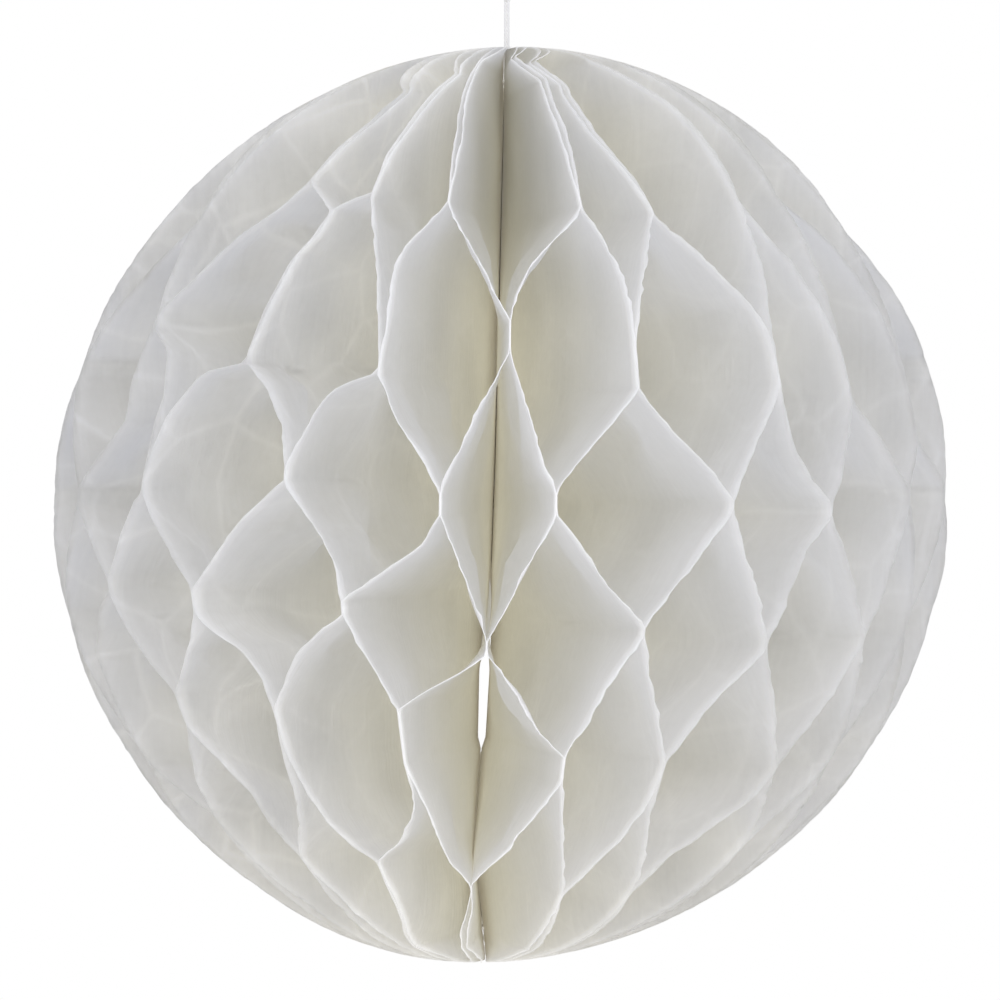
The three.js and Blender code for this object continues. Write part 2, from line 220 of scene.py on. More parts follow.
def rounded(points, steps):
    """A smooth line through the points."""
    line = []
    for i in range(len(points) - 1):
        before = points[max(i - 1, 0)]
        start = points[i]
        end = points[i + 1]
        after = points[min(i + 2, len(points) - 1)]
        for s in range(steps):
            t = s / steps
            line.append(tuple(
                0.5 * (2 * b + (c - a) * t + (2 * a - 5 * b + 4 * c - d) * t ** 2 + (3 * b - a - 3 * c + d) * t ** 3)
                for a, b, c, d in zip(before, start, end, after)
            ))
    line.append(tuple(points[-1]))
    return line


def beside(line, distance, turn_at):
    """The line moved sideways: in x up to the knot, and in y where it goes round the loop."""
    moved = []
    for x, y, z in line:
        angle = math.radians(90) * min(max((z - turn_at + 0.001) / 0.002, 0.0), 1.0)
        moved.append((x + distance * math.cos(angle), y + distance * math.sin(angle), z))
    return moved


def overhand_knot(centre, size, strand_radius, turn=0.0):
    """The line of a pulled-tight overhand knot round a centre."""
    line = []
    for i in range(61):
        t = 2 * math.pi * i / 60
        x = (math.sin(t) + 2 * math.sin(2 * t)) / 3
        z = (math.cos(t) - 2 * math.cos(2 * t)) / 3
        y = -math.sin(3 * t) * 0.45
        ca, sa = math.cos(turn), math.sin(turn)
        line.append((centre[0] + size * (ca * x - sa * y), centre[1] + size * (sa * x + ca * y), centre[2] + size * z))
    return line


CORD_Y = 0.009617
STRAND_RADIUS = 0.00031
LOOP_KNOT = 0.116
straight = [(0.0, CORD_Y, 0.0960 + 0.0182 * i / 8) for i in range(9)]
loop = [
    (0.0, CORD_Y, 0.1160),
    (0.001715, CORD_Y, 0.117715),
    (0.004125, CORD_Y, 0.1244),
    (0.0055, CORD_Y, 0.13232),
    (0.0042, CORD_Y, 0.1376),
    (0.0, CORD_Y, 0.1400),
    (-0.0042, CORD_Y, 0.1376),
    (-0.0055, CORD_Y, 0.13232),
    (-0.004125, CORD_Y, 0.1244),
    (-0.001715, CORD_Y, 0.117715),
]
cord_line = straight + rounded(loop, 5)
hanging_cord = strands("hanging_cord_strands", [
    beside(cord_line, STRAND_RADIUS, LOOP_KNOT),
    beside(cord_line, -STRAND_RADIUS, LOOP_KNOT),
], STRAND_RADIUS)
loop_knot = strands("loop_knot_strands", [overhand_knot((0, CORD_Y, LOOP_KNOT), 0.00125, 0.0005)], 0.0005)
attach(hanging_cord, "root")
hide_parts("hanging_cord", "cord_loop")
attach(loop_knot, "root")
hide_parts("loop_knot")


# Tissue leaves. Thirty-six half-round sheets of thin white tissue, glued one to the next along
# six level lines, to the left and to the right by turns, so that the opened ball shows diamond
# cells. Handling has pulled the glued places about and crumpled the paper, mostly on the left.
LEAVES = 36
HALF_WIDTH = 0.100
HALF_HEIGHT = 0.10225
ROUNDNESS = 1.92
TOP_ROW = 0.1019
SPINE_RADIUS = 0.0021
SPINE_SPREAD = 155 / 175
PAPER = 0.00012
ROWS = 190
COLUMNS = 22

tissue, nodes = new_material("white_tissue_paper")
uv = nodes.node("ShaderNodeTexCoord", None, None, 2)
out_from_spine = nodes.node("ShaderNodeSeparateXYZ", None, {"Vector": uv}, 0)
up_the_sheet = nodes.node("ShaderNodeSeparateXYZ", None, {"Vector": uv}, 1)
sheet_number = nodes.node("ShaderNodeAttribute", {"attribute_name": "sheet"}, None, 2)
shift = nodes.node("ShaderNodeCombineXYZ", None, {"Y": sheet_number * 1.7})
on_paper = nodes.node("ShaderNodeVectorMath", {"operation": "ADD"}, {0: uv, 1: shift})
rib_place = nodes.node("ShaderNodeCombineXYZ", None, {"X": out_from_spine * 95.0, "Y": up_the_sheet * 3.0 + sheet_number})
ribs = nodes.node("ShaderNodeTexNoise", {"noise_dimensions": "2D"}, {"Vector": rib_place, "Scale": 1.0, "Detail": 1.0, "Roughness": 0.6})
fibre = nodes.node("ShaderNodeTexNoise", {"noise_dimensions": "2D"}, {"Vector": on_paper, "Scale": 55.0, "Detail": 1.0, "Roughness": 0.7})
clouds = nodes.node("ShaderNodeTexNoise", {"noise_dimensions": "2D"}, {"Vector": on_paper, "Scale": 5.0, "Detail": 0.0})
worn = nodes.node("ShaderNodeAttribute", {"attribute_name": "worn"}, None, 2)
swing = Socket(nodes, clouds.socket.node.outputs["Color"])
bent_paper = nodes.node("ShaderNodeVectorMath", {"operation": "MULTIPLY_ADD"}, {0: swing, 1: (0.05, 0.05, 0.0), 2: on_paper})
into_fold = nodes.node("ShaderNodeTexVoronoi", {"voronoi_dimensions": "2D", "feature": "DISTANCE_TO_EDGE"}, {"Vector": bent_paper, "Scale": 5.0}, 0)
# The folds of the crumpled paper are painted: the facets between them are painted lighter or darker as painted shade,
# and a painted highlight runs along the fold lines, more strongly on the more crumpled leaves.
painted_fold_shade = (into_fold + clouds * 1.2 - 0.75) * worn
fold_highlight = nodes.node("ShaderNodeMath", {"operation": "SUBTRACT", "use_clamp": True}, {0: 1.0, 1: into_fold * 20.0}) * worn
# The rim is the cut edge of each leaf. There the paper is painted white and glows white: a painted highlight where the
# edge catches the light.
rim = nodes.node("ShaderNodeAttribute", {"attribute_name": "rim"}, None, 2)
# The band is the outer part of each leaf. It is painted a paler, bluish white: painted light where the outer paper is
# lit directly.
band = nodes.node("ShaderNodeAttribute", {"attribute_name": "band"}, None, 2)
mottle = (ribs - 0.5) * 0.12 + (fibre - 0.5) * 0.14 + (clouds - 0.5) * 0.06
sheet_colour = nodes.mix(ribs * 0.45 + fibre * 0.3 + clouds * 0.25, (0.84, 0.85, 0.87, 1), (0.93, 0.935, 0.95, 1))
sheet_colour = nodes.mix(painted_fold_shade + 0.4, sheet_colour, (0.84, 0.85, 0.87, 1))
sheet_colour = nodes.mix(band * 0.75, sheet_colour, (0.95, 0.955, 0.985, 1))
sheet_colour = nodes.mix(rim, sheet_colour, (1.0, 1.0, 1.0, 1))
bump = nodes.node("ShaderNodeBump", None, {"Strength": 0.6, "Distance": 0.00016, "Height": ribs})
# The emission colour is painted light that stands in for light bounced inside the ball: a warm glow near the spine that
# turns grey further out, and dims to dark brown right at the spine as painted shade deep in the cells.
depth = nodes.node("ShaderNodeMath", {"operation": "MULTIPLY", "use_clamp": True}, {0: out_from_spine, 1: 11.0})
glow = nodes.mix(out_from_spine, (1.0, 0.93, 0.69, 1), (0.50, 0.485, 0.44, 1))
glow = nodes.mix(depth, (0.36, 0.27, 0.12, 1), glow)
# Painted shade near the top of the front sheets, which stand close together there: the glow turns dark and the paper
# darker, less so on the crumpled leaves.
high_up = nodes.node("ShaderNodeMath", {"operation": "MULTIPLY", "use_clamp": True}, {0: up_the_sheet - 0.4, 1: 3.0})
crowded_shade = nodes.node("ShaderNodeMath", {"operation": "SUBTRACT", "use_clamp": True}, {0: 1.0, 1: worn * 1.5}) * high_up
glow = nodes.mix(crowded_shade, glow, (0.25, 0.235, 0.19, 1))
glow = nodes.mix(rim, glow, (1.0, 1.0, 1.0, 1))
matt = nodes.node("ShaderNodeBsdfPrincipled", None, {"Base Color": sheet_colour, "Roughness": 0.75, "Specular IOR Level": 0.25, "Normal": bump,
                                                          "Emission Color": glow, "Emission Strength": 0.42})
through = nodes.node("ShaderNodeBsdfTranslucent", None, {"Color": (0.902, 0.90, 0.885, 1), "Normal": bump})
# The share of translucent paper carries painted light as well: less of it, and so more of the glowing matt paper,
# paints the rim, the band and the fold lines lighter; more of it paints the tops of the front sheets darker, and the
# fold facets darker and lighter by turns. The mottle is the paper's own unevenness.
thin = nodes.node("ShaderNodeMixShader", None, {0: 0.83 - rim * 0.48 - band * 0.15 + painted_fold_shade * 0.2 - fold_highlight * 0.12 + crowded_shade * 0.16 + mottle, 1: matt, 2: through})
inside = nodes.node("ShaderNodeNewGeometry", None, None, "Backfacing")
clear = nodes.node("ShaderNodeBsdfTransparent", None, {"Color": (1, 1, 1, 1)})
sheet_surface = nodes.node("ShaderNodeMixShader", None, {0: inside, 1: thin, 2: clear})
nodes.node("ShaderNodeOutputMaterial", None, {"Surface": sheet_surface})

# Where each pair of leaves is glued: level line and left leaf of the pair, then the direction it
# faces in degrees to the right of straight ahead, and the top and bottom of the glue in mm.
GLUED = {
    (1, 11): (-56.0, 62.0, 59.0),
    (1, 13): (-33.8, 67.9, 67.0),
    (1, 15): (-21.2, 65.0, 63.6),
    (1, 17): (-8.8, 63.7, 61.7),
    (1, 19): (11.1, 61.6, 60.3),
    (1, 21): (22.1, 60.7, 59.3),
    (1, 23): (39.0, 64.3, 62.9),
    (1, 25): (49.3, 65.2, 64.0),
    (1, 27): (66.0, 61.0, 58.0),
    (2, 12): (-52.7, 38.7, 37.4),
    (2, 14): (-33.2, 31.0, 28.9),
    (2, 16): (-15.1, 28.5, 26.4),
    (2, 18): (0.7, 36.8, 30.7),
    (2, 20): (16.1, 32.1, 23.4),
    (2, 22): (35.5, 27.8, 24.1),
    (2, 24): (47.7, 28.3, 21.6),
    (2, 26): (62.9, 25.5, 13.7),
    (3, 13): (-47.9, 5.1, 2.7),
    (3, 15): (-25.8, 7.4, 5.0),
    (3, 17): (-7.0, 2.6, -1.9),
    (3, 19): (6.2, 2.6, -1.7),
    (3, 21): (27.6, 1.0, -1.4),
    (3, 23): (42.4, 0.0, -2.7),
    (3, 25): (59.2, 3.1, 1.0),
    (4, 12): (-56.7, -15.3, -18.3),
    (4, 14): (-39.8, -17.1, -21.4),
    (4, 16): (-18.8, -18.5, -22.1),
    (4, 18): (-1.5, -27.1, -29.7),
    (4, 20): (17.4, -24.2, -26.0),
    (4, 22): (34.6, -27.3, -29.4),
    (4, 24): (52.8, -27.3, -29.0),
    (5, 13): (-47.2, -39.1, -46.1),
    (5, 15): (-30.3, -41.4, -44.1),
    (5, 17): (-12.8, -41.0, -52.4),
    (5, 19): (9.2, -50.9, -56.2),
    (5, 21): (23.9, -52.4, -54.5),
    (5, 23): (44.5, -54.7, -56.1),
    (6, 12): (-53.7, -65.8, -67.5),
    (6, 14): (-37.7, -73.6, -75.1),
    (6, 16): (-21.6, -74.0, -75.2),
    (6, 18): (-4.8, -79.1, -80.8),
    (6, 20): (14.1, -81.7, -83.2),
    (6, 22): (29.8, -81.5, -82.8),
    (6, 24): (50.1, -72.2, -73.5),
}

# How the front leaves run on from a line to the next: direction and height of points on the way.
RUN_ON = {
    (0, 13): [(-28.0, 88.0), (-29.5, 80.7), (-32.7, 74.1)],
    (0, 14): [(-26.0, 88.0), (-28.0, 80.6), (-31.5, 74.1)],
    (0, 15): [(-17.0, 92.0), (-19.0, 88.1), (-20.3, 78.8), (-21.3, 73.0)],
    (0, 16): [(-15.5, 92.0), (-17.6, 88.0), (-19.4, 78.7), (-20.6, 73.0)],
    (0, 17): [(-12.7, 95.4), (-11.8, 90.2), (-9.8, 77.7), (-9.3, 69.7)],
    (0, 18): [(-11.9, 96.0), (-11.0, 91.3), (-9.4, 82.0), (-8.5, 75.4), (-8.5, 68.5)],
    (0, 19): [(-0.8, 96.5), (2.6, 94.0), (8.0, 90.4), (8.3, 85.5), (9.8, 77.3), (10.5, 68.1)],
    (0, 20): [(0.4, 97.2), (4.7, 94.6), (9.7, 90.7), (9.8, 85.8), (11.0, 77.3), (11.2, 68.2)],
    (0, 21): [(6.3, 95.3), (13.0, 89.2), (13.0, 85.6), (15.6, 77.4), (17.9, 72.7), (20.1, 67.1)],
    (0, 22): [(8.5, 95.9), (14.6, 89.2), (14.7, 85.6), (16.6, 77.5), (18.6, 72.7), (20.8, 67.2)],
    (0, 23): [(34.0, 96.0), (39.9, 86.3), (40.5, 79.6), (39.4, 67.6)],
    (0, 24): [(36.0, 96.0), (41.4, 86.4), (41.7, 79.7), (40.1, 67.7)],
    (1, 13): [(-36.2, 62.1), (-44.0, 52.7), (-47.7, 46.4), (-51.7, 41.8)],
    (1, 14): [(-27.0, 60.2), (-28.5, 54.5), (-30.7, 49.5), (-32.5, 38.6)],
    (1, 15): [(-24.2, 62.7), (-26.8, 60.7), (-27.7, 55.3), (-30.0, 51.2), (-31.7, 40.6)],
    (1, 16): [(-19.3, 57.1), (-17.3, 46.7), (-16.0, 37.8)],
    (1, 17): [(-12.2, 55.6), (-14.0, 51.8), (-14.9, 46.8), (-14.7, 37.8)],
    (1, 18): [(-3.7, 49.1), (-1.0, 40.9)],
    (1, 19): [(6.7, 53.4), (3.2, 47.1), (1.5, 41.9)],
    (1, 20): [(13.5, 54.3), (14.8, 50.0), (15.6, 45.4), (16.1, 39.0)],
    (1, 21): [(19.2, 50.7), (17.5, 41.1)],
    (1, 22): [(26.9, 52.3), (30.4, 46.0), (34.1, 39.9), (35.3, 34.2)],
    (1, 23): [(37.6, 52.9), (36.9, 45.0), (36.0, 38.5)],
    (1, 24): [(41.7, 53.8), (46.0, 42.4), (47.6, 33.1)],
    (1, 25): [(49.8, 57.8), (48.5, 47.1), (48.1, 39.2)],
    (1, 26): [(55.8, 56.3), (61.5, 43.7), (62.5, 34.1)],
    (2, 12): [(-54.0, 27.1), (-53.4, 17.5)],
    (2, 13): [(-48.0, 32.2), (-46.0, 22.0)],
    (2, 14): [(-39.5, 27.1), (-45.1, 17.4)],
    (2, 15): [(-30.2, 24.2), (-26.9, 16.0)],
    (2, 16): [(-17.9, 24.9), (-20.4, 22.9), (-22.6, 17.9), (-25.0, 11.0)],
    (2, 17): [(-12.2, 15.8), (-9.2, 9.7)],
    (2, 18): [(-2.9, 18.8), (-5.2, 9.9)],
    (2, 19): [(3.1, 17.6), (4.8, 6.9)],
    (2, 20): [(13.0, 16.8), (9.6, 10.3)],
    (2, 21): [(20.4, 13.9), (23.7, 8.6)],
    (2, 22): [(33.7, 19.2), (30.7, 11.0)],
    (2, 23): [(36.3, 13.1), (38.9, 5.1)],
    (2, 24): [(45.6, 13.3), (44.0, 6.1)],
    (3, 13): [(-49.6, 0.0), (-52.6, -8.3)],
    (3, 14): [(-45.3, -5.1)],
    (3, 15): [(-31.4, -3.0), (-35.6, -11.1)],
    (3, 16): [(-22.9, -1.6), (-20.9, -7.1), (-19.2, -12.9)],
    (3, 17): [(-9.2, -8.3), (-12.5, -12.0), (-16.3, -16.6)],
    (3, 18): [(-4.9, -11.2), (-2.9, -19.7)],
    (3, 19): [(2.9, -13.2), (0.6, -21.1)],
    (3, 20): [(9.8, -10.0), (13.8, -18.2)],
    (3, 21): [(23.9, -8.9), (20.1, -17.7)],
    (3, 22): [(30.1, -11.4), (32.8, -21.0)],
    (3, 23): [(38.5, -8.7), (36.3, -19.2)],
    (3, 24): [(45.9, -11.3), (49.2, -19.7)],
    (4, 12): [(-60.5, -22.0), (-66.7, -32.3)],
    (4, 13): [(-54.1, -26.0), (-50.3, -33.4)],
    (4, 14): [(-40.9, -25.7), (-43.5, -32.9)],
    (4, 15): [(-37.5, -25.4), (-33.4, -28.9), (-31.0, -34.5)],
    (4, 16): [(-22.4, -25.3), (-24.9, -29.1), (-27.6, -35.3)],
    (4, 17): [(-16.8, -28.5), (-14.4, -35.7)],
    (4, 18): [(-5.0, -33.7), (-9.3, -37.2)],
    (4, 19): [(2.7, -39.4), (5.6, -45.8)],
    (4, 20): [(14.0, -35.3), (11.5, -44.0)],
    (4, 21): [(19.1, -34.8), (21.0, -43.1)],
    (4, 22): [(29.8, -37.6), (26.5, -44.7)],
    (4, 23): [(37.8, -38.0), (41.1, -47.5)],
    (4, 24): [(49.8, -38.5), (46.1, -47.8)],
    (5, 14): [(-43.2, -53.4), (-40.5, -59.7), (-39.0, -67.7)],
    (5, 15): [(-31.1, -51.1), (-31.3, -58.6), (-33.1, -66.3)],
    (5, 16): [(-30.0, -52.1), (-29.0, -59.1), (-27.7, -64.9), (-24.9, -70.3)],
    (5, 17): [(-12.3, -57.7), (-13.2, -63.8), (-15.5, -68.8)],
    (5, 18): [(-11.7, -57.0), (-9.6, -65.5), (-8.0, -73.6)],
    (5, 19): [(5.5, -64.1), (1.9, -70.7), (-2.1, -75.8)],
    (5, 20): [(10.7, -66.8)],
    (5, 21): [(23.2, -61.2), (21.0, -69.2), (17.1, -76.1)],
    (5, 22): [(24.4, -63.4), (26.8, -72.2)],
    (5, 23): [(42.5, -61.8), (37.1, -68.2), (32.4, -73.7)],
    (6, 16): [(-22.2, -81.3), (-23.7, -88.7), (-28.1, -95.5)],
    (6, 17): [(-21.5, -81.3), (-22.9, -88.6), (-26.2, -95.4)],
    (6, 18): [(-5.9, -83.8), (-8.0, -90.3), (-8.8, -95.5)],
    (6, 19): [(-5.0, -83.8), (-6.1, -90.3), (-6.9, -95.5)],
    (6, 20): [(14.1, -86.7), (15.2, -91.6), (17.7, -96.3)],
    (6, 21): [(15.5, -87.3), (17.5, -92.2), (20.8, -96.8)],
    (6, 22): [(31.1, -89.6), (34.7, -97.4)],
}

LINE_HEIGHTS = {1: 58.6, 2: 30.6, 3: 2.6, 4: -25.4, 5: -53.4, 6: -81.4}
USUAL_DIRECTION = [(12, -55.0), (14, -37.0), (16, -18.5), (18, 0.0), (20, 17.0), (22, 35.0), (24, 50.5), (26, 64.0), (36, 180.0), (48, 305.0)]
SPINE_BEND = [(-102, -5.0), (-92, -6.0), (-78, -7.6), (-54, -5.7), (-34, -4.9), (-21, -3.8), (10, -2.66), (54, -1.54), (80, -0.9), (98, -0.65), (103, -0.6)]
# Low in the ball the spine edges stand apart, with a slit that shows the light behind the ball:
# height in mm, and how far the leaves on each side, those at the back right and the cards give way.
SLIT = [(-57, 0.0, 0.0, 0.0), (-54.5, 0.0, 0.6, 1.4), (-52, 0.75, 2.2, 2.9), (-37, 1.05, 2.2, 2.9), (-33.5, 0.7, 2.2, 2.7), (-14, 0.0, 0.0, 0.0)]


def between(table, place):
    """The value at a place in a table of places and values, in straight lines between them."""
    for (a, low), (b, high) in zip(table, table[1:]):
        if place <= b:
            return low + (high - low) * max((place - a) / (b - a), 0.0)
    return table[-1][1]


def usual_direction(number):
    """The direction that the glue between a leaf and the next faces, where nothing has moved it."""
    turns = 0
    while number < 12:
        number += LEAVES
        turns -= 1
    while number > 48:
        number -= LEAVES
        turns += 1
    return between(USUAL_DIRECTION, number) + 360 * turns


chance = random.Random(36)
glue = {}
for line in range(1, 7):
    for number in range(0, LEAVES + 1):
        if (number + line) % 2:
            continue
        if (line, number) in GLUED:
            glue[line, number] = GLUED[line, number]
        else:
            middle = LINE_HEIGHTS[line] + chance.uniform(-1.8, 1.8)
            half = chance.uniform(1.0, 2.6)
            glue[line, number] = (usual_direction(number) + chance.uniform(-1.3, 1.3), middle + half, middle - half)
back_left = usual_direction(0)
back_right = usual_direction(LEAVES)


def edge_of(number):
    """Points on a leaf's outer edge from top to bottom: direction, height, and whether it is glued there."""
    middle = (usual_direction(number - 1) + usual_direction(number)) / 2
    points = [(middle, 102.0, True)]
    points += [(d, z, False) for d, z in RUN_ON.get((0, number), [])]
    for line in range(1, 7):
        partner = number if (number + line) % 2 == 0 else number - 1
        if (line, partner) in glue:
            direction, top, bottom = glue[line, partner]
            points += [(direction, top, True), (direction, bottom, True)]
        points += [(d, z, False) for d, z in RUN_ON.get((line, number), [])]
    points.append((middle, -102.0, True))
    return points


def direction_at(points, height):
    """The edge's direction at a height: it runs straight from one point to the next."""
    for (a, top, _), (b, low, _) in zip(points, points[1:]):
        if height >= low:
            return a + (b - a) * (top - height) / max(top - low, 0.01)
    return points[-1][0]


heights = []
for i in range(ROWS):
    t = 2 * i / (ROWS - 1) - 1
    heights.append(TOP_ROW * (0.45 * t + 0.55 * math.sin(math.pi * t / 2)))


def reach(z):
    """The ball's half width at a height."""
    return HALF_WIDTH * (1 - min(abs(z) / HALF_HEIGHT, 1.0) ** ROUNDNESS) ** (1 / ROUNDNESS)


def outer_middle(z):
    """How far right of the frame's middle the ball's middle is at a height: it leans a little."""
    mm = z * 1000
    x = -1.2 + 0.0166 * mm
    if mm > 75:
        x += 1.2 * ((mm - 75) / 27) ** 1.5
    if mm < -85:
        x -= 3.6 * ((-85 - mm) / 17) ** 1.2
    return x / 1000


def spine_middle(z):
    return between(SPINE_BEND, z * 1000) / 1000


def slit(z, which):
    """How far a side gives way at a height: 1 for every leaf, 2 for the back right, 3 for the cards."""
    if not SLIT[0][0] < z * 1000 < SLIT[-1][0]:
        return 0.0
    return between([(row[0], row[which]) for row in SLIT], z * 1000) / 1000


# The card that closes the pad stands in direction 180 degrees. Each leaf keeps clear of its
# neighbours, and of the card, by half a sheet and a little air.
CLEAR = 0.00009
CARD_CLEAR = 0.0011
directions = {n: [direction_at(edge_of(n), z * 1000) for z in heights] for n in range(1, LEAVES + 1)}
for row, z in enumerate(heights):
    step = math.degrees(2 * CLEAR / max(reach(z), 0.004))
    card_step = math.degrees(CARD_CLEAR / max(reach(z), 0.004))
    for sweep in range(12):
        directions[1][row] = max(directions[1][row], back_left + card_step)
        directions[LEAVES][row] = min(directions[LEAVES][row], back_right - card_step)
        for n in range(1, LEAVES):
            short = directions[n][row] + step - directions[n + 1][row]
            if short > 0:
                directions[n][row] -= short / 2
                directions[n + 1][row] += short / 2


def outer_point(direction, z):
    a = math.radians(direction)
    return (outer_middle(z) + reach(z) * math.sin(a), -reach(z) * math.cos(a), z)


def inner_point(direction, z):
    a = math.radians(direction * SPINE_SPREAD)
    x = spine_middle(z) + SPINE_RADIUS * math.sin(a)
    if direction < 0:
        x -= slit(z, 1)
    else:
        x += slit(z, 1) + slit(z, 2) * (1 - math.cos(a)) / 2
    return (x, -SPINE_RADIUS * math.cos(a), z)


# Folds of the handled paper, which cross each other: direction on the sheet in degrees, width, and
# depth. The cut rim of each leaf leans out a little.
CREASES = [(18.0, 1.0, 0.9), (71.0, 0.8, 0.9), (128.0, 0.62, 0.8), (162.0, 1.25, 0.7)]
RIM_WIDTH = 0.0030
RIM_FLARE = 0.0011
BAND_WIDTH = 0.022

leaf_tree, build, given = new_shape_tree("leaf_from_its_edge", [
    ("Columns", "NodeSocketInt"),
    ("Rows", "NodeSocketInt"),
    ("Crumple", "NodeSocketFloat"),
    ("Crumple size", "NodeSocketFloat"),
    ("Ragged edge", "NodeSocketFloat"),
    ("Rim highlight", "NodeSocketFloat"),
    ("Seed", "NodeSocketFloat"),
    ("Paper", "NodeSocketMaterial"),
])
grid = build.node("GeometryNodeMeshGrid", None, {"Size X": 1.0, "Size Y": 1.0, "Vertices X": given["Columns"], "Vertices Y": given["Rows"]})
spot = build.node("GeometryNodeInputPosition")
along = build.node("ShaderNodeSeparateXYZ", None, {"Vector": spot}, 0) + 0.5
up = build.node("ShaderNodeSeparateXYZ", None, {"Vector": spot}, 1) + 0.5
row = build.node("FunctionNodeFloatToInt", {"rounding_mode": "ROUND"}, {"Float": up * (given["Rows"] - 1.0)})
out = 1.0 - (1.0 - along) ** 1.35
edge = build.node("GeometryNodeSampleIndex", {"data_type": "FLOAT_VECTOR", "domain": "POINT"},
                  {"Geometry": given["Geometry"], "Value": spot, "Index": row})
inner_name = build.node("GeometryNodeInputNamedAttribute", {"data_type": "FLOAT_VECTOR"}, {"Name": "spine"})
inner = build.node("GeometryNodeSampleIndex", {"data_type": "FLOAT_VECTOR", "domain": "POINT"},
                   {"Geometry": given["Geometry"], "Value": inner_name, "Index": row})
slack_name = build.node("GeometryNodeInputNamedAttribute", {"data_type": "FLOAT"}, {"Name": "slack"})
slack = build.node("GeometryNodeSampleIndex", {"data_type": "FLOAT", "domain": "POINT"},
                   {"Geometry": given["Geometry"], "Value": slack_name, "Index": row})
outward = build.node("ShaderNodeVectorMath", {"operation": "SUBTRACT"}, {0: edge, 1: inner})
length = build.node("ShaderNodeVectorMath", {"operation": "LENGTH"}, {0: outward}, 1)
straight_out = build.node("ShaderNodeVectorMath", {"operation": "NORMALIZE"}, {0: outward})
sideways = build.node("ShaderNodeVectorMath", {"operation": "CROSS_PRODUCT"}, {0: (0.0, 0.0, 1.0), 1: straight_out})
sideways = build.node("ShaderNodeVectorMath", {"operation": "NORMALIZE"}, {0: sideways})
height_up = build.node("ShaderNodeSeparateXYZ", None, {"Vector": edge}, 2)
on_sheet = build.node("ShaderNodeCombineXYZ", None, {"X": out * length, "Y": height_up, "Z": given["Seed"]})
scaled = build.node("ShaderNodeVectorMath", {"operation": "SCALE"}, {0: on_sheet, "Scale": 1.0 / given["Crumple size"]})
wander = build.node("ShaderNodeTexNoise", None, {"Vector": scaled, "Scale": 0.5, "Detail": 1.0}, 1)
wander = build.node("ShaderNodeVectorMath", {"operation": "SCALE"}, {0: wander, "Scale": 1.6})
bent = build.node("ShaderNodeVectorMath", {"operation": "ADD"}, {0: scaled, 1: wander})
creases = None
for turn, width, share in CREASES:
    across = (math.cos(math.radians(turn)) / width, math.sin(math.radians(turn)) / width, 0.37 * width)
    fold = build.node("ShaderNodeVectorMath", {"operation": "DOT_PRODUCT"}, {0: bent, 1: across}, 1)
    fold = (build.node("ShaderNodeMath", {"operation": "PINGPONG"}, {0: fold, 1: 1.0}) - 0.5) * (share * width)
    creases = fold if creases is None else creases + fold
swell = build.node("ShaderNodeTexNoise", None, {"Vector": scaled, "Scale": 0.45, "Detail": 1.0})
noise = creases + (swell - 0.5) * 0.8
dent = build.node("ShaderNodeClamp", None, {"Value": noise * given["Crumple"], "Min": -1.15, "Max": 1.15})
push = dent * slack * out * (1.0 - out ** 7.0 * 0.9)
rim = build.node("ShaderNodeMath", {"operation": "SUBTRACT", "use_clamp": True}, {0: 1.0, 1: (1.0 - out) * length / RIM_WIDTH})
lean = build.node("ShaderNodeTexNoise", None, {"Vector": on_sheet, "Scale": 110.0, "Detail": 2.0})
room = build.node("ShaderNodeMath", {"operation": "MINIMUM"}, {0: slack, 1: RIM_FLARE})
torn = build.node("ShaderNodeTexNoise", None, {"Vector": on_sheet, "Scale": 420.0, "Detail": 3.0})
push = push + ((lean - 0.5) * 2.6 + (torn - 0.5) * 1.6) * room * rim * rim
flat_point = build.node("ShaderNodeMix", {"data_type": "VECTOR"}, None, 1)
mixer = flat_point.socket.node
build.tree.links.new(out.socket, mixer.inputs[0])
build.tree.links.new(inner.socket, mixer.inputs[4])
build.tree.links.new(edge.socket, mixer.inputs[5])
moved = build.node("ShaderNodeVectorMath", {"operation": "SCALE"}, {0: sideways, "Scale": push})
fray = (torn - 0.5) * given["Ragged edge"] * out ** 20.0
frayed = build.node("ShaderNodeVectorMath", {"operation": "SCALE"}, {0: straight_out, "Scale": fray})
place = build.node("ShaderNodeVectorMath", {"operation": "ADD"}, {0: flat_point, 1: moved})
place = build.node("ShaderNodeVectorMath", {"operation": "ADD"}, {0: place, 1: frayed})
sheet = build.node("GeometryNodeSetPosition", None, {"Geometry": grid, "Position": place})
sheet_uv = build.node("ShaderNodeCombineXYZ", None, {"X": out * length * 10.0, "Y": height_up * 10.0})
kept_uv = build.node("GeometryNodeCaptureAttribute", None, {"Geometry": grid})
kept_uv.socket.node.capture_items.new("VECTOR", "flat")
build.tree.links.new(sheet_uv.socket, kept_uv.socket.node.inputs["flat"])
build.tree.links.new(kept_uv.socket, sheet.socket.node.inputs["Geometry"])
sheet = build.node("GeometryNodeStoreNamedAttribute", {"data_type": "FLOAT2", "domain": "CORNER"},
                   {"Geometry": sheet, "Name": "UVMap", "Value": Socket(build, kept_uv.socket.node.outputs["flat"])})
kept_rim = build.node("GeometryNodeCaptureAttribute", None, {"Geometry": grid})
kept_rim.socket.node.capture_items.new("FLOAT", "rim")
# The rim mask, scaled by the strength of the painted rim highlight, goes to the material.
build.tree.links.new((rim * given["Rim highlight"]).socket, kept_rim.socket.node.inputs["rim"])
build.tree.links.new(kept_rim.socket, kept_uv.socket.node.inputs["Geometry"])
# How crumpled the leaf is, which sets how strongly the material paints shade and highlights on its folds.
worn = given["Crumple"] * 0.43
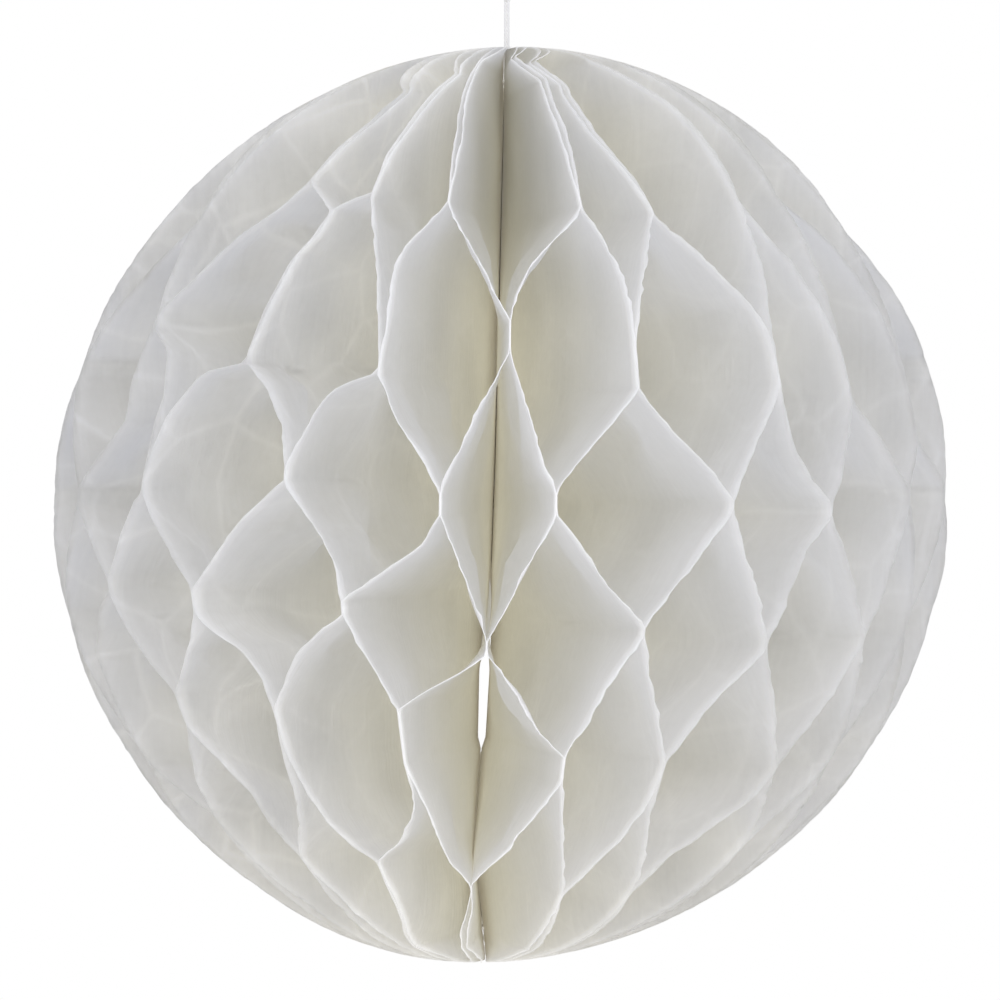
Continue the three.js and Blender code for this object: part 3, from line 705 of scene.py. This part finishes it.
# The band fades in towards the edge over the band width; scaled by the rim highlight strength, it marks where the
# material paints the outer paper lighter.
band_reach = build.node("ShaderNodeMath", {"operation": "MAXIMUM"}, {0: length, 1: 0.065})
outer_band = build.node("ShaderNodeMath", {"operation": "SUBTRACT", "use_clamp": True}, {0: 1.0, 1: (1.0 - out) * band_reach / BAND_WIDTH})
kept_rim.socket.node.capture_items.new("FLOAT", "band")
build.tree.links.new((outer_band * outer_band * given["Rim highlight"]).socket, kept_rim.socket.node.inputs["band"])
kept_rim.socket.node.capture_items.new("FLOAT", "worn")
build.tree.links.new(worn.socket, kept_rim.socket.node.inputs["worn"])
kept_rim.socket.node.capture_items.new("FLOAT", "sheet")
build.tree.links.new(given["Seed"].socket, kept_rim.socket.node.inputs["sheet"])
for mark in ("rim", "band", "worn", "sheet"):
    sheet = build.node("GeometryNodeStoreNamedAttribute", {"data_type": "FLOAT", "domain": "POINT"},
                       {"Geometry": sheet, "Name": mark, "Value": Socket(build, kept_rim.socket.node.outputs[mark])})
finish_shape_tree(build, sheet, given["Paper"])


def leaf(name, outer, inner_line, slack_line, wall, paper, crumple, size, ragged, white, seed, columns=COLUMNS):
    """A sheet between the spine and its outer edge, row by row."""
    source = bpy.data.meshes.new(name)
    source.from_pydata(outer, [(i, i + 1) for i in range(len(outer) - 1)], [])
    spine = source.attributes.new("spine", "FLOAT_VECTOR", "POINT")
    spine.data.foreach_set("vector", [v for p in inner_line for v in p])
    loose = source.attributes.new("slack", "FLOAT", "POINT")
    loose.data.foreach_set("value", slack_line)
    piece = made_with(name, source, leaf_tree, {
        "Columns": columns, "Rows": len(outer), "Crumple": crumple, "Crumple size": size,
        "Ragged edge": ragged, "Rim highlight": white, "Seed": seed, "Paper": paper}, wall)
    for polygon in piece.data.polygons:
        polygon.use_smooth = True
    return piece


for number in range(1, LEAVES + 1):
    name = f"tissue_leaf_{number:02d}"
    middle = (usual_direction(number - 1) + usual_direction(number)) / 2
    outer = [outer_point(d, z) for d, z in zip(directions[number], heights)]
    inner_line = [inner_point(middle, z) for z in heights]
    left = directions[number - 1] if number > 1 else [back_left] * ROWS
    right = directions[number + 1] if number < LEAVES else [back_right] * ROWS
    slack_line = []
    for d, a, b, z in zip(directions[number], left, right, heights):
        slack_line.append(0.4 * math.radians(max(min(d - a, b - d), 0.0)) * reach(z))
    crumple = between([(1, 2.3), (14, 2.3), (17, 0.6), (20, 0.5), (24, 1.7), (36, 1.9)], number)
    # The painted highlight on the rim and the band is strongest on the leaves that face the front.
    white = max(0.2, 1.0 - 0.11 * abs(number - 18.5))
    piece = leaf("paper_" + name, outer, inner_line, slack_line, PAPER, tissue, crumple, 0.016, 0.0008, white, number * 1.7)
    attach(piece, "root")
    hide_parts(name)


# End cards. Two stiff white cards, cut to the same half round, are glued to the outermost leaves.
# They close the flat pad, and meet at the back when the ball is open.
CARD_WALL = 0.0005
CARD_OFFSET = 0.00042
CARD_FIT = 0.985
CARD_CORNER_HEIGHT = 0.0937
CARD_CORNER_WIDTH = 0.010767
CARD_START = 0.0068
CARD_RIM_TOP = 0.0994

card_paper, nodes = new_material("white_card")
where = nodes.node("ShaderNodeTexCoord", None, None, 3)
pulp = nodes.node("ShaderNodeTexNoise", None, {"Vector": where, "Scale": 900.0, "Detail": 4.0, "Roughness": 0.6})
shade = nodes.node("ShaderNodeTexNoise", None, {"Vector": where, "Scale": 40.0, "Detail": 3.0})
card_colour = nodes.mix(pulp * 0.6 + shade * 0.4, (0.77, 0.755, 0.72, 1), (0.90, 0.89, 0.865, 1))
bump = nodes.node("ShaderNodeBump", None, {"Strength": 0.3, "Distance": 0.0001, "Height": pulp})
matt = nodes.node("ShaderNodeBsdfPrincipled", None, {"Base Color": card_colour, "Roughness": shade * 0.1 + 0.75, "Normal": bump})
nodes.node("ShaderNodeOutputMaterial", None, {"Surface": matt})


def seam_point(back, z, offset):
    """A point of the seam between the cards: how far back, how high, and how far to the right."""
    share = min((back - SPINE_RADIUS) / max(reach(z) - SPINE_RADIUS, 0.001), 1.0)
    first = spine_middle(z) + slit(z, 3)
    return (first + (outer_middle(z) - first) * share + offset, back, z)


def stiff_sheet(name, rows, wall, finish):
    """A sheet through rows of points, with a wall and slightly rounded edges."""
    wide = len(rows[0])
    faces = [(r * wide + c, r * wide + c + 1, (r + 1) * wide + c + 1, (r + 1) * wide + c)
             for r in range(len(rows) - 1) for c in range(wide - 1)]
    mesh = bpy.data.meshes.new(name)
    mesh.from_pydata([p for row in rows for p in row], [], faces)
    piece = bpy.data.objects.new(name, mesh)
    bpy.context.scene.collection.objects.link(piece)
    solid = piece.modifiers.new("wall", "SOLIDIFY")
    solid.thickness = wall
    solid.offset = 0.0
    round_edge = piece.modifiers.new("edge", "BEVEL")
    round_edge.width = wall * 0.2
    round_edge.segments = 2
    round_edge.limit_method = "ANGLE"
    bpy.context.view_layer.update()
    graph = bpy.context.evaluated_depsgraph_get()
    done = bpy.data.meshes.new_from_object(piece.evaluated_get(graph), depsgraph=graph)
    done.name = name
    piece.modifiers.clear()
    piece.data = done
    done.materials.append(finish)
    return piece


card_rows = []
for z in [-CARD_RIM_TOP, -0.0975, -0.0955, -CARD_CORNER_HEIGHT - 0.00002] + \
        [CARD_CORNER_HEIGHT * i / 30 for i in range(-30, 31)] + \
        [CARD_CORNER_HEIGHT + 0.00002, 0.0955, 0.0975, CARD_RIM_TOP]:
    first = CARD_START if abs(z) <= CARD_CORNER_HEIGHT else CARD_CORNER_WIDTH
    last = CARD_FIT * reach(z / CARD_FIT)
    card_rows.append((z, first, max(last, first + 0.0002)))
for name, side in (("end_card_right", 1), ("end_card_left", -1)):
    rows = [[seam_point(first + (last - first) * i / 16, z, side * CARD_OFFSET) for i in range(17)]
            for z, first, last in card_rows]
    card = stiff_sheet("cut_" + name, rows, CARD_WALL, card_paper)
    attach(card, "root")
    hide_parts(name)


# Adhesive strips. Two pieces of double-sided tape between the cards hold the ball open.
STRIP_WALL = 0.0003

tape, nodes = new_material("double_sided_tape")
where = nodes.node("ShaderNodeTexCoord", None, None, 3)
streak = nodes.node("ShaderNodeTexNoise", None, {"Vector": where, "Scale": 300.0, "Detail": 3.0})
tape_colour = nodes.mix(streak, (0.84, 0.82, 0.74, 1), (0.93, 0.92, 0.87, 1))
bump = nodes.node("ShaderNodeBump", None, {"Strength": 0.2, "Distance": 0.00005, "Height": streak})
sticky = nodes.node("ShaderNodeBsdfPrincipled", None, {"Base Color": tape_colour, "Roughness": streak * 0.15 + 0.35, "Normal": bump})
nodes.node("ShaderNodeOutputMaterial", None, {"Surface": sticky})

for name, low in (("adhesive_strip_upper", 0.016), ("adhesive_strip_lower", -0.050)):
    rows = [[seam_point(0.0575 + 0.009 * i / 4, low + 0.034 * j / 12, 0.0) for i in range(5)] for j in range(13)]
    strip = stiff_sheet("cut_" + name, rows, STRIP_WALL, tape)
    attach(strip, "root")
    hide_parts(name)


# Cord ring and lower tie. A fine cord runs through punched holes in all the leaves, round the top
# of the spine, and is knotted where the hanging cord starts. A thread does the same at the foot.
RING_HEIGHT = 0.09485
RING_FRONT = 0.3
for name, height, knot_name, knot_size in (("cord_ring", RING_HEIGHT, "cord_knot", 0.00062),
                                           ("lower_tie", -RING_HEIGHT, "lower_tie_knot", 0.00042)):
    knot_radius = 0.00085 if height > 0 else 0.0006
    gap = math.asin((knot_radius + 0.0001) / CORD_Y)
    round_spine = []
    for i in range(73):
        turn = gap + (2 * math.pi - 2 * gap) * i / 72
        forward = 1.0 if math.cos(turn) > 0 else RING_FRONT
        round_spine.append((CORD_Y * math.sin(turn), CORD_Y * forward * math.cos(turn), height))
    ring = strands(name + "_strand", [round_spine], 0.0003)
    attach(ring, "root")
    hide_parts(name)
    knot = strands(knot_name + "_strands", [overhand_knot((0, CORD_Y, height), knot_size, knot_size * 0.38)], knot_size * 0.38)
    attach(knot, "root")
    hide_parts(knot_name)


# Studio. A pale floor well below the hanging ball, and a white surround. Its soft light comes
# mostly from the front and a little from the right, and is dimmer than the white behind the ball.
world = bpy.data.worlds.new("white_surround")
world.use_nodes = True
world.node_tree.nodes["Background"].inputs["Color"].default_value = (1.0, 1.0, 1.0, 1)
sky = Tree(world.node_tree)
seen = sky.node("ShaderNodeLightPath", None, None, "Is Camera Ray")
way = sky.node("ShaderNodeTexCoord", None, None, 0)
facing = sky.node("ShaderNodeVectorMath", {"operation": "DOT_PRODUCT"}, {0: way, 1: (0.42, -0.88, -0.18)}, 1) * 0.5 + 0.5
soft_light = sky.mix(facing ** 2.0, (0.535, 0.545, 0.605, 1), (0.945, 0.965, 1.055, 1))
surround = sky.mix(seen, soft_light, (1.0, 1.0, 1.0, 1))
world.node_tree.links.new(surround.socket, world.node_tree.nodes["Background"].inputs["Color"])
world.cycles.sampling_method = "NONE"
bpy.context.scene.world = world
bpy.context.scene.view_settings.view_transform = "Standard"

pale, nodes = new_material("pale_floor")
here = nodes.node("ShaderNodeTexCoord", None, None, 3)
grain = nodes.node("ShaderNodeTexNoise", None, {"Vector": here, "Scale": 30.0, "Detail": 4.0})
tone = nodes.mix(grain, (0.93, 0.90, 0.83, 1), (0.98, 0.95, 0.88, 1))
board = nodes.node("ShaderNodeBsdfPrincipled", None, {"Base Color": tone, "Roughness": 0.8})
nodes.node("ShaderNodeOutputMaterial", None, {"Surface": board})
ground = bpy.data.meshes.new("floor")
ground.from_pydata([(-1.0, -1.0, -0.25), (1.0, -1.0, -0.25), (1.0, 0.75, -0.25), (-1.0, 0.75, -0.25)], [], [(0, 1, 2, 3)])
floor = bpy.data.objects.new("floor", ground)
floor.data.materials.append(pale)
bpy.context.scene.collection.objects.link(floor)
